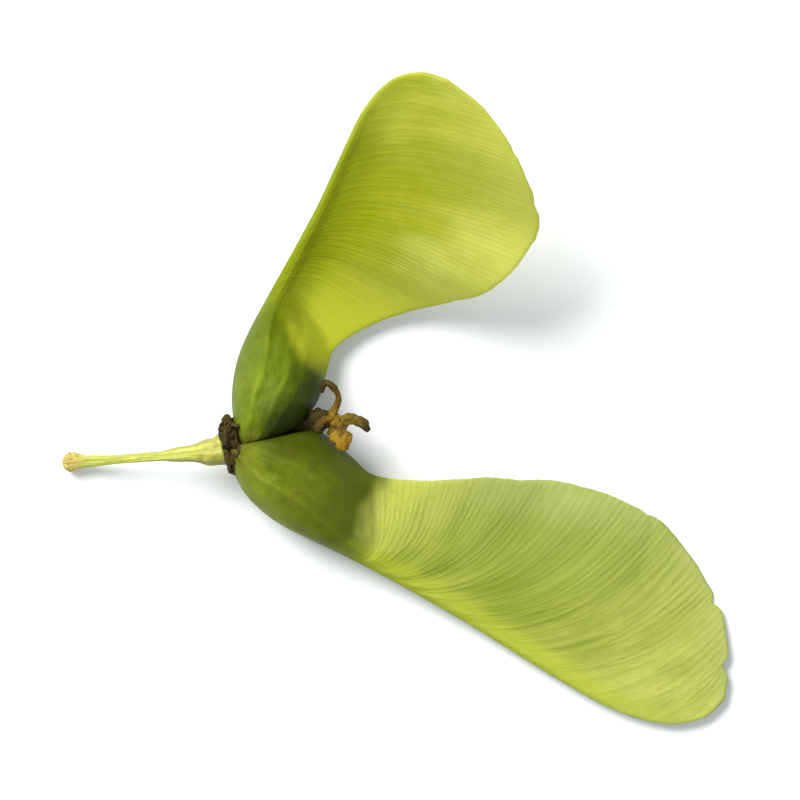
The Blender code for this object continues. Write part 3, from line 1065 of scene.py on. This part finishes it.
# Painted shade: the sideways flanks of the flare are darkened, as a round stalk seen from above is
# shaded at its sides.
painted_flank_shade = bark.step(abs(turn_x), 0.5, 0.95) * bark.step(length, 3.8, 5.6)
colour = bark.mix(painted_flank_shade * 0.75, colour, (0.19, 0.22, 0.02))
colour = bark.mix(speckle * 0.4, colour, (0.38, 0.27, 0.05))
dry = 1.0 - bark.step(length, 0.3, 1.3)
colour = bark.mix(dry * 0.7, colour, (0.50, 0.33, 0.09))
warm = bark.step(length, 5.6, 6.6)
colour = bark.mix(warm * (0.3 + speckle * 0.4), colour, (0.36, 0.27, 0.05))
bump = bark.bump(fibres + speckle * 0.5, 0.6, GRAIN_DEPTH)
bark.wear(bark.surface(Base_Color=colour, Roughness=0.5 + fibres * 0.15, Normal=bump), stalk)

# %% [markdown]
# The calyx is dry and nearly black, with a rusty brown where it is thin. The style is the same
# dry tissue, still orange where it is fleshy and dark at its ends.

# %% Withered tissue
GREENISH = (0.12, 0.13, 0.01)
BLACKENED = (0.02, 0.012, 0.003)
WRINKLE_DEPTH = 0.0001
DRY_GLOSS = 0.15


def withered(name, dark, rust, pale, scale, piece):
    """Dry tissue in patches of two colours with pale flecks, tinted as its mesh says."""
    dry = Finish(name)
    darkness, greenness, _ = dry.attribute("zones")
    place = dry.place()
    patches = dry.patches(place, scale, 0.36, 0.62, 4.0, 0.6)
    flecks = dry.patches(place, scale * 3.1, 0.55, 0.7)
    colour = dry.mix(patches, dark, rust)
    colour = dry.mix(flecks * 0.55, colour, pale)
    colour = dry.mix(greenness * 0.8, colour, GREENISH)
    blackened = dry.step(darkness + (patches - 0.5) * 0.3, 0.2, 0.95)
    colour = dry.mix(blackened * 0.9, colour, BLACKENED)
    bump = dry.bump(dry.noise(place, scale * 2.0, 5.0, 0.65), 0.8, WRINKLE_DEPTH)
    surface = dry.surface(
        Base_Color=colour, Roughness=0.55 + patches * 0.25, Normal=bump,
        Specular_IOR_Level=DRY_GLOSS,
    )
    dry.wear(surface, piece)


DARK, RUST, PALE = (0.016, 0.010, 0.002), (0.065, 0.042, 0.006), (0.20, 0.15, 0.045)
withered("calyx_skin", DARK, RUST, PALE, 1300.0, calyx)
BROWN, ORANGE, TAN = (0.09, 0.05, 0.004), (0.28, 0.165, 0.010), (0.42, 0.30, 0.045)
withered("style_skin", BROWN, ORANGE, TAN, 1100.0, style)

# %% [markdown]
# ## Light and camera
#
# The pair lies on plain white board, a wide disc with the faint tooth of paper, which takes the
# soft shadows that show how high the upper wing stands.

# %% The board under it
board_mesh = bmesh.new()
bmesh.ops.create_circle(board_mesh, cap_ends=True, radius=1.5, segments=96)
board_data = bpy.data.meshes.new("board")
board_mesh.to_mesh(board_data)
board_mesh.free()
board = bpy.data.objects.new("board", board_data)
bpy.context.scene.collection.objects.link(board)
paper = Finish("board_paper")
tooth = paper.noise(paper.place(), 900.0, 3.0)
colour = paper.mix(tooth, (0.86, 0.87, 0.885), (0.90, 0.905, 0.915))
bump = paper.bump(tooth, 0.15, 0.00005)
paper.wear(paper.surface(Base_Color=colour, Roughness=0.75, Normal=bump), board)

# %% [markdown]
# The light is soft daylight from the upper left, with a weaker light opposite and a pale sky to
# keep the shadows open. Both lights are round area lights that face the fruit.


# %% Soft daylight
def window(name, place, size, power, colour):
    light = bpy.data.lights.new(name, "AREA")
    light.shape, light.size = "DISK", size
    light.energy, light.color = power, colour
    lamp = bpy.data.objects.new(name, light)
    lamp.location = place
    lamp.rotation_euler = (-Vector(place)).to_track_quat("-Z", "Y").to_euler()
    bpy.context.scene.collection.objects.link(lamp)


window("window_left", (-0.26, 0.28, 0.40), size=0.36, power=4.6, colour=(1.0, 0.985, 0.96))
window("window_right", (0.40, -0.22, 0.36), size=0.4, power=0.7, colour=(0.95, 0.975, 1.0))

world = bpy.data.worlds.new("sky")
bpy.context.scene.world = world
world.use_nodes = True
background = world.node_tree.nodes["Background"]
background.inputs["Color"].default_value = (0.88, 0.945, 1.0, 1.0)
background.inputs["Strength"].default_value = 0.5
bpy.context.scene.view_settings.view_transform = "Standard"
print("two soft lights and a pale sky")

# %% [markdown]
# The camera looks straight down from far away through a long lens, which is how so flat a thing
# is usually shown. The lens follows from the height and the width of the field.

# %% The camera
HEIGHT = 0.42
FIELD = 0.0345
SENSOR = 36.0
CENTRE = Vector((0.00015, 0.00004, 0.0))
camera_data = bpy.data.cameras.new("camera")
camera_data.sensor_width = SENSOR
camera_data.lens = SENSOR * HEIGHT / FIELD
camera_data.clip_start, camera_data.clip_end = 0.01, 10.0
camera = bpy.data.objects.new("camera", camera_data)
camera.location = CENTRE + Vector((0.0, 0.0, HEIGHT))
bpy.context.scene.collection.objects.link(camera)
bpy.context.scene.camera = camera
print("the picture is", FIELD / MM, "mm wide at the board")
